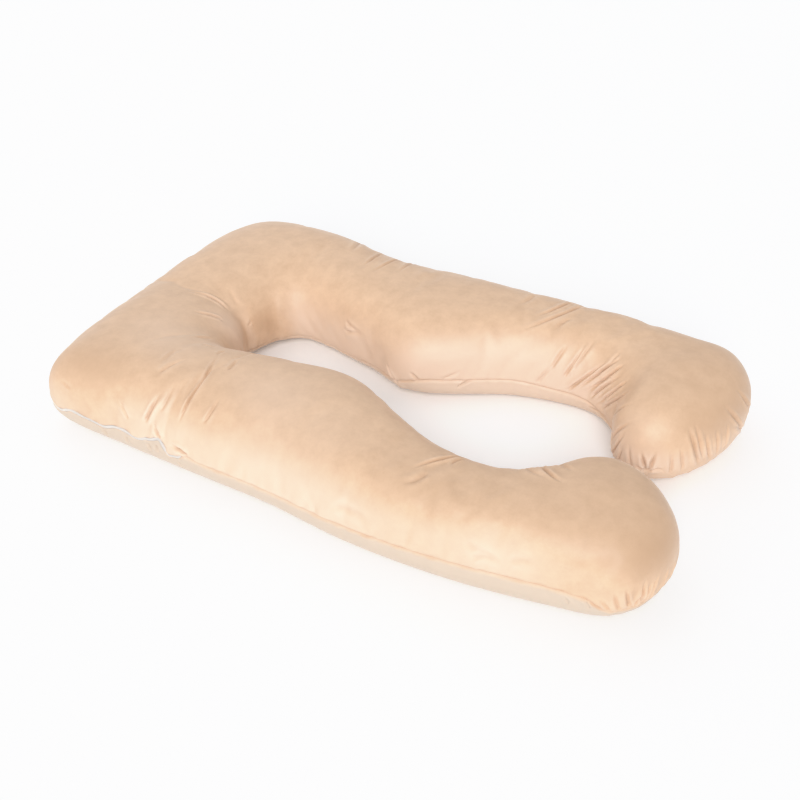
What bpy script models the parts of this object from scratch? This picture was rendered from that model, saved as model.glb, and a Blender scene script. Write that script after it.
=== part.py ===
"""U-shaped body pillow: two velour panels sewn along one seam and filled, with a zip in the seam.

Metres, +Z up. The pillow lies flat: the head end, where the legs meet, is at -X, the feet at +X,
one leg at -Y and the other at +Y. The origin is under the middle of the part, on the floor.
"""
import math
from collections import namedtuple

import bmesh
import bpy
from mathutils import Vector

# ---- driving dimensions ------------------------------------------------------------------------
SEAM_HEIGHT = 0.068        # the seam all round, above the floor
UNDERSIDE_DEPTH = 0.082    # how far the underside would sag below the seam; the floor flattens it
TOP_SQUARENESS = 2.56      # superellipse exponent of a section above the seam
UNDER_SQUARENESS = 2.62    # and below it
SEAM_INSET = 0.004         # the seam thread draws the cover in by this much

RINGS_PER_SECTION = 7      # rings of the cover between two rows of the table
FOOT_SPOKES = 30           # lines that run down from the crown of a foot, all round its end
# The points down one side of a ring, in degrees above the seam.
SIDE_ANGLES = (74, 58, 44, 31, 19, 8.5, 1.5, 0, -1.5, -8, -20, -36, -54)

# Sections across the pillow, from the foot of the near leg, round the head end, to the foot of the
# far leg: where the section meets the seam on the outer side and on the inner side, and its crown.
Section = namedtuple("Section", "outer_x outer_y inner_x inner_y crown")
SECTIONS = (
    Section(0.656, -0.367, 0.488, -0.102, 0.200),
    Section(0.566, -0.392, 0.436, -0.163, 0.197),
    Section(0.364, -0.425, 0.354, -0.218, 0.196),
    Section(0.150, -0.439, 0.203, -0.198, 0.197),
    Section(-0.046, -0.430, -0.007, -0.101, 0.201),
    Section(-0.207, -0.430, -0.150, -0.113, 0.202),
    Section(-0.422, -0.428, -0.311, -0.143, 0.203),
    Section(-0.614, -0.420, -0.361, -0.096, 0.198),
    Section(-0.667, -0.333, -0.375, -0.053, 0.192),
    Section(-0.697, -0.170, -0.389, -0.027, 0.183),
    Section(-0.718, -0.005, -0.398, -0.005, 0.172),
    Section(-0.716, 0.161, -0.388, 0.017, 0.183),
    Section(-0.695, 0.334, -0.379, 0.044, 0.192),
    Section(-0.619, 0.426, -0.363, 0.080, 0.198),
    Section(-0.416, 0.435, -0.304, 0.121, 0.203),
    Section(-0.196, 0.403, -0.124, 0.089, 0.202),
    Section(-0.038, 0.426, 0.024, 0.054, 0.201),
    Section(0.153, 0.416, 0.227, 0.163, 0.197),
    Section(0.365, 0.416, 0.386, 0.194, 0.196),
    Section(0.568, 0.412, 0.467, 0.138, 0.197),
    Section(0.650, 0.408, 0.499, 0.056, 0.200),
)
# The seam round the end of each foot, from the outer side to the inner side of its last section.
Rim = namedtuple("Rim", "x y")
NEAR_FOOT = (
    Rim(0.707, -0.300),
    Rim(0.718, -0.212),
    Rim(0.682, -0.146),
    Rim(0.624, -0.096),
    Rim(0.552, -0.076),
)
FAR_FOOT = (
    Rim(0.707, 0.330),
    Rim(0.713, 0.233),
    Rim(0.684, 0.127),
    Rim(0.627, 0.044),
    Rim(0.558, 0.018),
)

# Creases, each a soft trough in the upper cover from one place to another, seen from above.
CREASE_FADE = 0.012        # a crease fades in over this height above the seam
CREASE_TAPER = 0.6         # and loses this share of its depth from its start to its end
Crease = namedtuple("Crease", "from_x from_y to_x to_y width depth")
CREASES = (
    # the pinched throat of the U and the two long folds that run from it over the head end
    Crease(-0.405, 0.000, -0.470, 0.010, 0.014, 0.012),
    Crease(-0.437, -0.008, -0.545, -0.026, 0.013, 0.008),
    Crease(-0.400, -0.070, -0.462, -0.098, 0.013, 0.007),
    Crease(-0.372, 0.076, -0.440, 0.120, 0.014, 0.007),
    # the fan on the near side, beside the end of the zip
    Crease(-0.250, -0.430, -0.254, -0.297, 0.013, 0.006),
    Crease(-0.305, -0.430, -0.322, -0.370, 0.012, 0.008),
    Crease(-0.349, -0.425, -0.331, -0.375, 0.013, 0.006),
    Crease(-0.410, -0.425, -0.398, -0.360, 0.013, 0.006),
    Crease(-0.179, -0.430, -0.184, -0.362, 0.013, 0.005),
    # the near leg's waist and its foot
    Crease(0.325, -0.215, 0.255, -0.337, 0.014, 0.007),
    Crease(0.440, -0.160, 0.482, -0.240, 0.013, 0.005),
    Crease(0.720, -0.262, 0.650, -0.262, 0.012, 0.005),
    Crease(0.700, -0.320, 0.645, -0.300, 0.012, 0.005),
    # the far leg's outer side
    Crease(-0.216, 0.415, -0.216, 0.230, 0.014, 0.007),
    Crease(-0.166, 0.415, -0.185, 0.215, 0.014, 0.006),
    Crease(0.285, 0.420, 0.246, 0.275, 0.013, 0.006),
    Crease(0.320, 0.420, 0.260, 0.262, 0.013, 0.005),
    # the gathers on the bend of its inner side, and round its foot
    Crease(0.305, 0.190, 0.330, 0.255, 0.012, 0.006),
    Crease(0.345, 0.190, 0.385, 0.265, 0.012, 0.007),
    Crease(0.385, 0.185, 0.430, 0.250, 0.012, 0.007),
    Crease(0.430, 0.160, 0.480, 0.205, 0.012, 0.006),
    Crease(0.470, 0.110, 0.540, 0.150, 0.013, 0.007),
    Crease(0.560, 0.020, 0.590, 0.080, 0.013, 0.007),
    Crease(0.640, 0.040, 0.620, 0.110, 0.012, 0.006),
    Crease(0.690, 0.090, 0.640, 0.130, 0.012, 0.006),
    Crease(0.715, 0.160, 0.655, 0.170, 0.012, 0.005),
)

# The zip: where it starts and ends along the sections, and how its line waves above the seam.
ZIP_START = 8.35
ZIP_END = 5.16
ZIP_WIDTH = 0.006
ZIP_THICKNESS = 0.0024
ZIP_GAP = 0.0003
ZIP_STEPS = 96
ZIP_SIDES = 8
ZIP_AHEAD = 0.01           # looked ahead and back along the seam for its direction
Wave = namedtuple("Wave", "section lift")
ZIP_WAVES = (
    Wave(5.00, 0.000),
    Wave(5.16, 0.006),
    Wave(5.30, -0.008),
    Wave(5.45, 0.017),
    Wave(5.70, 0.006),
    Wave(5.95, 0.013),
    Wave(6.20, -0.007),
    Wave(6.50, -0.001),
    Wave(6.75, 0.007),
    Wave(7.10, -0.004),
    Wave(7.60, 0.005),
    Wave(8.10, -0.003),
    Wave(8.50, 0.000),
)

Finish = namedtuple("Finish", "name colour roughness metallic")
VELOUR = Finish("velour", (0.80, 0.62, 0.47, 1.0), 0.85, 0.0)
WHITE_NYLON = Finish("white_nylon", (0.86, 0.86, 0.85, 1.0), 0.45, 0.0)


# ---- scene and materials -----------------------------------------------------------------------
def clear_scene():
    for obj in list(bpy.data.objects):
        bpy.data.objects.remove(obj, do_unlink=True)


def make_material(finish):
    material = bpy.data.materials.new(finish.name)
    material.use_nodes = True
    shader = material.node_tree.nodes["Principled BSDF"]
    shader.inputs["Base Color"].default_value = finish.colour
    shader.inputs["Roughness"].default_value = finish.roughness
    shader.inputs["Metallic"].default_value = finish.metallic
    return material


def finish_object(name, bm, finish, collection):
    """Turn a bmesh into a named, smooth-shaded object with its own material."""
    mesh = bpy.data.meshes.new(name)
    bm.to_mesh(mesh)
    bm.free()
    mesh.shade_smooth()
    mesh.materials.append(make_material(finish))
    obj = bpy.data.objects.new(name, mesh)
    collection.objects.link(obj)
    return obj


# ---- the run of the pillow ---------------------------------------------------------------------
def blend(before, start, end, after, t):
    """Catmull-Rom curve through start and end."""
    return 0.5 * (2 * start + (end - before) * t
                  + (2 * before - 5 * start + 4 * end - after) * t ** 2
                  + (3 * start - before - 3 * end + after) * t ** 3)


def row_at(rows, place):
    """The values of a table at a place between its rows; its first and last row only guide."""
    index = min(int(place), len(rows) - 4)
    return [blend(*column, place - index) for column in zip(*rows[index:index + 4])]


def guide_section(foot, section):
    return Section(foot[0].x, foot[0].y, foot[-1].x, foot[-1].y, section.crown)


def section_at(place):
    """Outer and inner point on the seam, and crown, of the section at a place between rows."""
    outer_x, outer_y, inner_x, inner_y, crown = row_at(GUIDED_SECTIONS, place)
    return Vector((outer_x, outer_y)), Vector((inner_x, inner_y)), crown


GUIDED_SECTIONS = (
    guide_section(NEAR_FOOT, SECTIONS[0]),
    *SECTIONS,
    guide_section(FAR_FOOT, SECTIONS[-1]),
)


def zip_lift(place):
    """How far the zip's line rises above the level seam at a place along the sections."""
    for low, high in zip(ZIP_WAVES, ZIP_WAVES[1:]):
        if low.section <= place <= high.section:
            t = (place - low.section) / (high.section - low.section)
            return low.lift + (high.lift - low.lift) * t * t * (3 - 2 * t)
    return 0.0


# ---- the cover ---------------------------------------------------------------------------------
def side_points(hub, edge, crown, lift=0.0, zipped=False):
    """Points down one side of the cover, from the crown over hub, past the seam at edge."""
    reach = edge - hub
    points = []
    for angle in SIDE_ANGLES:
        squareness = TOP_SQUARENESS if angle >= 0 else UNDER_SQUARENESS
        breadth = math.cos(math.radians(angle)) ** (2 / squareness)
        rise = abs(math.sin(math.radians(angle))) ** (2 / squareness)
        seam_z = SEAM_HEIGHT + lift * breadth
        if angle >= 0:
            z = seam_z + (crown - seam_z) * rise
        else:
            z = max(0.0, seam_z - UNDERSIDE_DEPTH * rise)
        if angle == 0 and not zipped:
            breadth -= SEAM_INSET / reach.length
        plan = hub + reach * breadth
        points.append(Vector((plan.x, plan.y, z)))
    return points


def foot_spokes(section_place, neighbour_place, foot):
    """Sides that close a leg's end, turning about the middle of its last section."""
    outer, inner, crown = section_at(section_place)
    outer_guide, inner_guide, _ = section_at(neighbour_place)
    hub = (outer + inner) / 2
    rim = [outer_guide, outer, *foot, inner, inner_guide]
    spokes = []
    for step in range(1, FOOT_SPOKES):
        x, y = row_at(rim, step * (len(rim) - 3) / FOOT_SPOKES)
        spokes.append(side_points(hub, Vector((x, y)), crown))
    return spokes


def add_verts(bm, points):
    return [bm.verts.new(point) for point in points]


def bridge(bm, one, two):
    """Faces between two lines of points, which may share their first and last point."""
    for corners in zip(one, one[1:], two[1:], two):
        bm.faces.new(dict.fromkeys(corners))


def cover_mesh():
    """The whole cover: rings along the legs and the head end, and spokes round both feet."""
    bm = bmesh.new()
    last = len(SECTIONS) - 1
    rings = []
    for step in range(last * RINGS_PER_SECTION + 1):
        place = step / RINGS_PER_SECTION
        outer, inner, crown = section_at(place)
        hub = (outer + inner) / 2
        top, base = add_verts(bm, [(hub.x, hub.y, crown), (hub.x, hub.y, 0.0)])
        outside = side_points(hub, outer, crown, zip_lift(place), ZIP_END <= place <= ZIP_START)
        inside = side_points(hub, inner, crown)
        rings.append(([top, *add_verts(bm, outside), base], [top, *add_verts(bm, inside), base]))
    for (outside, inside), (next_outside, next_inside) in zip(rings, rings[1:]):
        bridge(bm, outside, next_outside)
        bridge(bm, inside, next_inside)
    for place, neighbour, foot in ((0, 1, NEAR_FOOT), (last, last - 1, FAR_FOOT)):
        outside, inside = rings[place * RINGS_PER_SECTION]
        top = outside[0]
        base = outside[-1]
        spokes = foot_spokes(place, neighbour, foot)
        lines = [[top, *add_verts(bm, side), base] for side in spokes]
        lines = [outside, *lines, inside]
        for one, two in zip(lines, lines[1:]):
            bridge(bm, one, two)
    bmesh.ops.recalc_face_normals(bm, faces=bm.faces[:])
    return bm


# ---- creases -----------------------------------------------------------------------------------
def crease_depth(point):
    """How far all the creases together press the upper cover in at a point."""
    above_seam = (point.z - SEAM_HEIGHT) / CREASE_FADE
    if above_seam <= 0:
        return 0.0
    depth = 0.0
    for crease in CREASES:
        start = Vector((crease.from_x, crease.from_y))
        run = Vector((crease.to_x, crease.to_y)) - start
        along = min(max((point.xy - start).dot(run) / run.length_squared, 0.0), 1.0)
        off = (point.xy - start - run * along).length / crease.width
        depth += crease.depth * (1 - CREASE_TAPER * along) * math.exp(-off * off)
    return depth * min(above_seam, 1.0)


def press_creases(bm):
    bm.normal_update()
    moves = [(vert, vert.normal * crease_depth(vert.co)) for vert in bm.verts]
    for vert, move in moves:
        vert.co -= move


def make_pillow(collection):
    bm = cover_mesh()
    press_creases(bm)
    return finish_object("pillow", bm, VELOUR, collection)


# ---- the zip -----------------------------------------------------------------------------------
def zip_place(place):
    """A point of the zip's middle line on the cover, and the direction out of the cover there."""
    outer, inner, _ = section_at(place)
    ahead = section_at(place + ZIP_AHEAD)[0] - section_at(place - ZIP_AHEAD)[0]
    out = Vector((ahead.y, -ahead.x)).normalized()
    if out.dot(outer - inner) < 0:
        out = -out
    return Vector((outer.x, outer.y, SEAM_HEIGHT + zip_lift(place))), Vector((out.x, out.y, 0.0))


def zip_rings():
    """Oval sections of the zip, along its wavy line on the cover."""
    stand_off = ZIP_GAP + ZIP_THICKNESS / 2
    line = []
    for step in range(ZIP_STEPS + 1):
        point, out = zip_place(ZIP_END + (ZIP_START - ZIP_END) * step / ZIP_STEPS)
        line.append((point + out * stand_off, out))
    rings = []
    for i, (point, out) in enumerate(line):
        along = (line[min(i + 1, ZIP_STEPS)][0] - line[max(i - 1, 0)][0]).normalized()
        across = along.cross(out).normalized()
        ring = []
        for side in range(ZIP_SIDES):
            turn = math.tau * (side + 0.5) / ZIP_SIDES
            ring.append(point + across * (ZIP_WIDTH / 2 * math.cos(turn))
                        + out * (ZIP_THICKNESS / 2 * math.sin(turn)))
        rings.append(ring)
    return rings


def make_zip(collection):
    bm = bmesh.new()
    loops = [add_verts(bm, ring) for ring in zip_rings()]
    for one, two in zip(loops, loops[1:]):
        bridge(bm, [*one, one[0]], [*two, two[0]])
    for end in (loops[0], loops[-1]):
        bm.faces.new(end)
    bmesh.ops.recalc_face_normals(bm, faces=bm.faces[:])
    return finish_object("zip", bm, WHITE_NYLON, collection)


# ---- the part ----------------------------------------------------------------------------------
def main():
    clear_scene()
    collection = bpy.data.collections.new("body_pillow")
    bpy.context.scene.collection.children.link(collection)
    make_pillow(collection)
    make_zip(collection)


main()
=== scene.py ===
import math
from collections import namedtuple

import bmesh
import bpy
import numpy as np
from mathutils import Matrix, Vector


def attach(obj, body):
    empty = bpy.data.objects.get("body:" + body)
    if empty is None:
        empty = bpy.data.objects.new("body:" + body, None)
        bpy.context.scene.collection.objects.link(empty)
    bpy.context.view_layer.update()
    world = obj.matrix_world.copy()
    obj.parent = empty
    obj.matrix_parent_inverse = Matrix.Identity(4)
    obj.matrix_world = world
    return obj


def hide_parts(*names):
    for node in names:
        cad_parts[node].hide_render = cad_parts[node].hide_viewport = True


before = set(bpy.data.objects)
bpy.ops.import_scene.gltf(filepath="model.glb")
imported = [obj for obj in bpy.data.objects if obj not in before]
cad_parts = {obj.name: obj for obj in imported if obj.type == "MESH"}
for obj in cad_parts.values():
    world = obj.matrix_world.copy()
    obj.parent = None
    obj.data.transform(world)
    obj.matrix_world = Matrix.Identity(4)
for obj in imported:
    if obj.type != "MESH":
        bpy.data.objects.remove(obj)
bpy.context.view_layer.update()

# ---- the view ----------------------------------------------------------------------------------
# The camera stands over the near foot, about two metres away, and looks down on the pillow at the
# photograph's angle through a normal lens.
CAMERA_AZIMUTH = math.radians(30.10)
CAMERA_ELEVATION = math.radians(35.95)
CAMERA_DISTANCE = 2.151
CAMERA_AIM = Vector((0.062, -0.071, 0.100))
CAMERA_LENS = 45.0

camera_data = bpy.data.cameras.new("camera")
camera_data.lens = CAMERA_LENS
camera_data.sensor_width = 36.0
camera = bpy.data.objects.new("camera", camera_data)
bpy.context.scene.collection.objects.link(camera)
camera_side = Vector((math.sin(CAMERA_AZIMUTH) * math.cos(CAMERA_ELEVATION),
                      -math.cos(CAMERA_AZIMUTH) * math.cos(CAMERA_ELEVATION),
                      math.sin(CAMERA_ELEVATION)))
camera.location = CAMERA_AIM + camera_side * CAMERA_DISTANCE
camera.rotation_euler = camera_side.to_track_quat("Z", "Y").to_euler()
bpy.context.scene.camera = camera

# ---- the cover: where it runs ------------------------------------------------------------------
# Two equal panels of beige velour, cut to a U and sewn together all round along one seam that
# stands at about a third of the height. Here the seam's line and the crown are laid out, before
# stuffing.
WIDEST_HEIGHT = 0.068      # a section is widest at this height above the floor
UNDERSIDE_DEPTH = 0.082    # how far it would sag below that; the floor flattens it
TOP_SQUARENESS = 2.56      # superellipse exponent of a section above its widest
UNDER_SQUARENESS = 2.62    # and below it
COVER_PITCH = 0.010        # the widest mesh of the cover, before it is smoothed
SEAM_PITCH = 0.0026        # and the narrowest, beside the seam
PITCH_GROWTH = 0.2         # how fast the mesh widens above the seam
UNDER_PITCH_GROWTH = 0.25  # and below it
UNDERSIDE_PITCH = 0.030    # the widest on the underside, which nothing shows
TYPICAL_BREADTH = 0.16     # half a section's breadth, and its crown above its widest line, that
TYPICAL_CROWN = 0.132      # the rows of the mesh are spaced for
ARC_STEEPEST = 88          # degrees; the last rows before the crown and the base
ARC_POINTS = 4001
RIM_POINTS = 800
RING_PROBES = 8001

Section = namedtuple("Section", "outer_x outer_y inner_x inner_y crown")
SECTIONS = (
    Section(0.656, -0.367, 0.488, -0.102, 0.200),
    Section(0.566, -0.392, 0.436, -0.163, 0.197),
    Section(0.364, -0.425, 0.354, -0.218, 0.196),
    Section(0.150, -0.439, 0.203, -0.198, 0.197),
    Section(-0.046, -0.430, -0.007, -0.101, 0.201),
    Section(-0.207, -0.430, -0.150, -0.113, 0.202),
    Section(-0.422, -0.428, -0.311, -0.143, 0.203),
    Section(-0.614, -0.420, -0.361, -0.096, 0.198),
    Section(-0.667, -0.333, -0.375, -0.053, 0.192),
    Section(-0.697, -0.170, -0.389, -0.027, 0.183),
    Section(-0.718, -0.005, -0.398, -0.005, 0.172),
    Section(-0.716, 0.161, -0.388, 0.017, 0.183),
    Section(-0.695, 0.334, -0.379, 0.044, 0.192),
    Section(-0.619, 0.426, -0.363, 0.080, 0.198),
    Section(-0.416, 0.435, -0.304, 0.121, 0.203),
    Section(-0.196, 0.403, -0.124, 0.089, 0.202),
    Section(-0.038, 0.426, 0.024, 0.054, 0.201),
    Section(0.153, 0.416, 0.227, 0.163, 0.197),
    Section(0.365, 0.416, 0.386, 0.194, 0.196),
    Section(0.568, 0.412, 0.467, 0.138, 0.197),
    Section(0.650, 0.408, 0.499, 0.056, 0.200),
)
Rim = namedtuple("Rim", "x y")
NEAR_FOOT = (
    Rim(0.707, -0.300),
    Rim(0.718, -0.212),
    Rim(0.682, -0.146),
    Rim(0.624, -0.096),
    Rim(0.552, -0.076),
)
FAR_FOOT = (
    Rim(0.707, 0.330),
    Rim(0.713, 0.233),
    Rim(0.684, 0.127),
    Rim(0.627, 0.044),
    Rim(0.558, 0.018),
)
LAST_SECTION = len(SECTIONS) - 1
GUIDED_SECTIONS = (
    Section(*NEAR_FOOT[0], *NEAR_FOOT[-1], SECTIONS[0].crown),
    *SECTIONS,
    Section(*FAR_FOOT[0], *FAR_FOOT[-1], SECTIONS[-1].crown),
)

# The seam isn't level: the filling pulls it down in the throat of the U and at the feet. Its height
# above the floor goes by the places of the sections on the outer and the inner side, and by the
# turn round a foot, from 0 at its outer side to 1 at its inner side.
Height = namedtuple("Height", "place z")
OUTER_SEAM = (
    Height(0.0, 0.044),
    Height(0.6, 0.070),
    Height(1.2, 0.075),
    Height(2.6, 0.068),
    Height(18.0, 0.068),
    Height(20.0, 0.040),
)
INNER_SEAM = (
    Height(0.0, 0.048),
    Height(2.0, 0.066),
    Height(4.0, 0.060),
    Height(6.5, 0.034),
    Height(14.5, 0.030),
    Height(15.6, 0.044),
    Height(16.2, 0.067),
    Height(16.9, 0.066),
    Height(17.6, 0.054),
    Height(18.4, 0.042),
    Height(19.2, 0.034),
    Height(20.0, 0.030),
)
NEAR_FOOT_SEAM = (
    Height(0.0, 0.044),
    Height(0.5, 0.050),
    Height(1.0, 0.048),
)
FAR_FOOT_SEAM = (
    Height(0.0, 0.040),
    Height(0.3, 0.026),
    Height(0.8, 0.026),
    Height(1.0, 0.030),
)

# Where the zip starts and ends along the sections, and how its line waves above the seam. Near its
# end it steps down steeply, so the rings of the cover stand closer there.
ZIP_START = 8.35
ZIP_END = 5.16
ZIP_STEP = 5.40
ZIP_STEP_REACH = 0.16
ZIP_STEP_RINGS = 2.5
Wave = namedtuple("Wave", "section lift")
ZIP_WAVES = (
    Wave(5.00, 0.000),
    Wave(5.16, 0.006),
    Wave(5.26, -0.005),
    Wave(5.36, -0.009),
    Wave(5.46, 0.024),
    Wave(5.60, 0.012),
    Wave(5.76, 0.000),
    Wave(5.92, 0.009),
    Wave(6.03, 0.007),
    Wave(6.19, -0.005),
    Wave(6.42, 0.000),
    Wave(6.62, 0.005),
    Wave(6.86, -0.010),
    Wave(7.20, -0.004),
    Wave(7.60, 0.005),
    Wave(8.10, -0.003),
    Wave(8.50, 0.000),
)


def smooth_step(t):
    t = np.clip(t, 0.0, 1.0)
    return t * t * (3 - 2 * t)


def through_rows(rows, places):
    """Catmull-Rom curve through a table's rows, at places counted from its second row."""
    rows = np.array(rows, dtype=float)
    first = np.clip(places.astype(int), 0, len(rows) - 4)
    t = (places - first)[:, None]
    before, start, end, after = (rows[first + step] for step in range(4))
    return 0.5 * (2 * start + (end - before) * t
                  + (2 * before - 5 * start + 4 * end - after) * t ** 2
                  + (3 * start - before - 3 * end + after) * t ** 3)


def sections_at(places):
    """Outer and inner points on the seam, and crowns, at places along the sections."""
    rows = through_rows(GUIDED_SECTIONS, places)
    return rows[:, 0:2], rows[:, 2:4], rows[:, 4]


def zip_lift(places):
    lift = np.zeros(len(places))
    for low, high in zip(ZIP_WAVES, ZIP_WAVES[1:]):
        t = (places - low.section) / (high.section - low.section)
        inside = (t >= 0) & (t <= 1)
        lift[inside] = low.lift + (high.lift - low.lift) * smooth_step(t[inside])
    return lift


def superellipse(angles):
    """Breadth and signed rise of a section's side at angles above the seam, each from 0 to 1."""
    power = 2 / np.where(angles >= 0, TOP_SQUARENESS, UNDER_SQUARENESS)
    return np.cos(angles) ** power, np.sign(angles) * np.abs(np.sin(angles)) ** power


def section_arc():
    """Angles down a typical side, and how far above its widest line each is along the velour."""
    angles = np.radians(np.linspace(-ARC_STEEPEST, ARC_STEEPEST, ARC_POINTS))
    breadth, rise = superellipse(angles)
    side = np.column_stack((TYPICAL_BREADTH * breadth,
                            np.where(rise >= 0, TYPICAL_CROWN, UNDERSIDE_DEPTH) * rise))
    length = np.concatenate(([0.0], np.cumsum(np.linalg.norm(np.diff(side, axis=0), axis=1))))
    return angles, length - np.interp(0.0, angles, length)


ARC_ANGLES, ARC_LENGTHS = section_arc()


def row_marks():
    """Marks down a side, 1 at the crown, 0 at the seam and -1 at the base, close by the seam."""
    above = [0.0]
    while above[-1] < ARC_LENGTHS[-1] - COVER_PITCH / 2:
        above.append(above[-1] + min(SEAM_PITCH + PITCH_GROWTH * above[-1], COVER_PITCH))
    below = [0.0]
    while below[-1] > ARC_LENGTHS[0] + COVER_PITCH:
        below.append(below[-1] - min(SEAM_PITCH - UNDER_PITCH_GROWTH * below[-1], UNDERSIDE_PITCH))
    up = np.array(above[-2:0:-1]) / ARC_LENGTHS[-1]
    down = np.array(below[1:-1]) / -ARC_LENGTHS[0]
    return np.concatenate((up, [0.0], down)), len(up)


ROW_MARKS, SEAM_ROW = row_marks()


def heights_at(rows, places):
    """Heights from a table at places along it, eased from row to row."""
    marks = np.array([row.place for row in rows])
    levels = np.array([row.z for row in rows])
    low = np.clip(np.searchsorted(marks, places, side="right") - 1, 0, len(rows) - 2)
    t = smooth_step((places - marks[low]) / (marks[low + 1] - marks[low]))
    return levels[low] + (levels[low + 1] - levels[low]) * t


def side_points(hub, edge, crown, seam_height):
    """Points down the sides of the cover, from the crown over hub, past the seam, to the base."""
    lift = seam_height - WIDEST_HEIGHT
    rise = lift / np.where(lift >= 0, crown - WIDEST_HEIGHT, UNDERSIDE_DEPTH)
    squareness = np.where(lift >= 0, TOP_SQUARENESS, UNDER_SQUARENESS)
    seam_angle = np.sign(rise) * np.arcsin(np.abs(rise) ** (squareness / 2))
    seam_arc = np.interp(seam_angle, ARC_ANGLES, ARC_LENGTHS)[:, None]
    span = np.where(ROW_MARKS >= 0, ARC_LENGTHS[-1] - seam_arc, seam_arc - ARC_LENGTHS[0])
    angles = np.interp(seam_arc + ROW_MARKS * span, ARC_LENGTHS, ARC_ANGLES)
    breadth, rise = superellipse(angles)
    plan = hub[:, None, :] + (edge - hub)[:, None, :] * breadth[:, :, None]
    over = WIDEST_HEIGHT + (crown[:, None] - WIDEST_HEIGHT) * rise
    under = np.maximum(0.0, WIDEST_HEIGHT + UNDERSIDE_DEPTH * rise)
    height = np.where(angles >= 0, over, under)
    return np.concatenate((plan, height[:, :, None]), axis=2)


def foot_spokes(place, neighbour, foot, seam_rows):
    """Sides that close a leg's end, turning about the middle of its last section."""
    outer, inner, crown = sections_at(np.array([place, neighbour], dtype=float))
    hub = (outer[0] + inner[0]) / 2
    rim = [outer[1], outer[0], *foot, inner[0], inner[1]]
    fine = through_rows(rim, np.linspace(0, len(rim) - 3, RIM_POINTS))
    length = np.concatenate(([0.0], np.cumsum(np.linalg.norm(np.diff(fine, axis=0), axis=1))))
    count = int(length[-1] / COVER_PITCH) + 1
    marks = np.linspace(0, length[-1], count + 1)[1:-1]
    edge = np.column_stack([np.interp(marks, length, fine[:, axis]) for axis in (0, 1)])
    hubs = np.tile(hub, (len(edge), 1))
    return side_points(hubs, edge, np.full(len(edge), crown[0]),
                       heights_at(seam_rows, marks / length[-1]))


def ring_places():
    """Places of the rings along the sections, no wider apart on the cover than its mesh."""
    fine = np.linspace(0, LAST_SECTION, RING_PROBES)
    outer, inner, _ = sections_at(fine)
    strides = [np.linalg.norm(np.diff(edge, axis=0), axis=1) for edge in (outer, inner)]
    by_the_step = np.abs(fine[1:] - ZIP_STEP) < ZIP_STEP_REACH
    crowding = np.where(by_the_step, ZIP_STEP_RINGS, 1.0)
    length = np.concatenate(([0.0], np.cumsum(np.maximum(*strides) * crowding)))
    count = int(length[-1] / COVER_PITCH) + 1
    return np.interp(np.linspace(0, length[-1], count + 1), length, fine)


places = ring_places()
outer, inner, crown = sections_at(places)
hub = (outer + inner) / 2
outside = side_points(hub, outer, crown, heights_at(OUTER_SEAM, places) + zip_lift(places))
inside = side_points(hub, inner, crown, heights_at(INNER_SEAM, places))
far_spokes = foot_spokes(LAST_SECTION, LAST_SECTION - 1, FAR_FOOT, FAR_FOOT_SEAM)
near_spokes = foot_spokes(0, 1, NEAR_FOOT, NEAR_FOOT_SEAM)
# The sides go once round the pillow: out along its outer seam, round the far foot, back along
# the inner seam, and round the near foot.
sides = np.concatenate((outside, far_spokes, inside[::-1], near_spokes[::-1]))
ring_numbers = np.arange(len(places))
ring_of_side = np.concatenate((ring_numbers, np.full(len(far_spokes), ring_numbers[-1]),
                               ring_numbers[::-1], np.full(len(near_spokes), 0)))
tops = np.column_stack((hub, crown))
bases = np.column_stack((hub, np.zeros(len(places))))
side_count, row_count, _ = sides.shape
first_side_vert = 2 * len(places)
cover_verts = np.concatenate((tops, bases, sides.reshape(-1, 3)))
side_verts = first_side_vert + np.arange(side_count * row_count).reshape(side_count, row_count)
lines = np.column_stack((ring_of_side, side_verts, ring_of_side + len(places)))
next_lines = np.roll(lines, -1, axis=0)
cover_faces = []
for row in range(lines.shape[1] - 1):
    for corners in zip(lines[:, row], next_lines[:, row], next_lines[:, row + 1],
                       lines[:, row + 1]):
        cover_faces.append(tuple(dict.fromkeys(int(corner) for corner in corners)))

# Every point of the cover keeps how far round the seam it is, as the cosine and sine of a turn,
# and how far above the seam it is, measured along the velour.
seam_line = sides[:, SEAM_ROW]
strides = np.linalg.norm(np.roll(seam_line, -1, axis=0) - seam_line, axis=1)
SEAM_LENGTH = float(strides.sum())
seam_run = np.concatenate(([0.0], np.cumsum(strides)[:-1]))
turn = seam_run * (math.tau / SEAM_LENGTH)
side_strides = np.linalg.norm(np.diff(sides, axis=1), axis=2)
down = np.concatenate((np.zeros((side_count, 1)), np.cumsum(side_strides, axis=1)), axis=1)
above_seam = down[:, SEAM_ROW][:, None] - down
marks = np.zeros((len(cover_verts), 3))
marks[side_verts.ravel()] = np.stack((np.repeat(np.cos(turn), row_count),
                                      np.repeat(np.sin(turn), row_count),
                                      above_seam.ravel()), axis=1)
for side in range(side_count - 1, -1, -1):
    top = ring_of_side[side]
    marks[top] = (math.cos(turn[side]), math.sin(turn[side]), above_seam[side, 0] + COVER_PITCH)
    marks[top + len(places)] = (math.cos(turn[side]), math.sin(turn[side]),
                                above_seam[side, -1] - UNDERSIDE_PITCH)


def make_mesh(name, verts, faces):
    """A named object with a smooth mesh whose faces point outwards."""
    mesh = bpy.data.meshes.new(name)
    mesh.from_pydata([tuple(vert) for vert in verts], [], faces)
    bm = bmesh.new()
    bm.from_mesh(mesh)
    bmesh.ops.recalc_face_normals(bm, faces=bm.faces[:])
    bm.to_mesh(mesh)
    bm.free()
    mesh.shade_smooth()
    obj = bpy.data.objects.new(name, mesh)
    bpy.context.scene.collection.objects.link(obj)
    return obj


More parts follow.
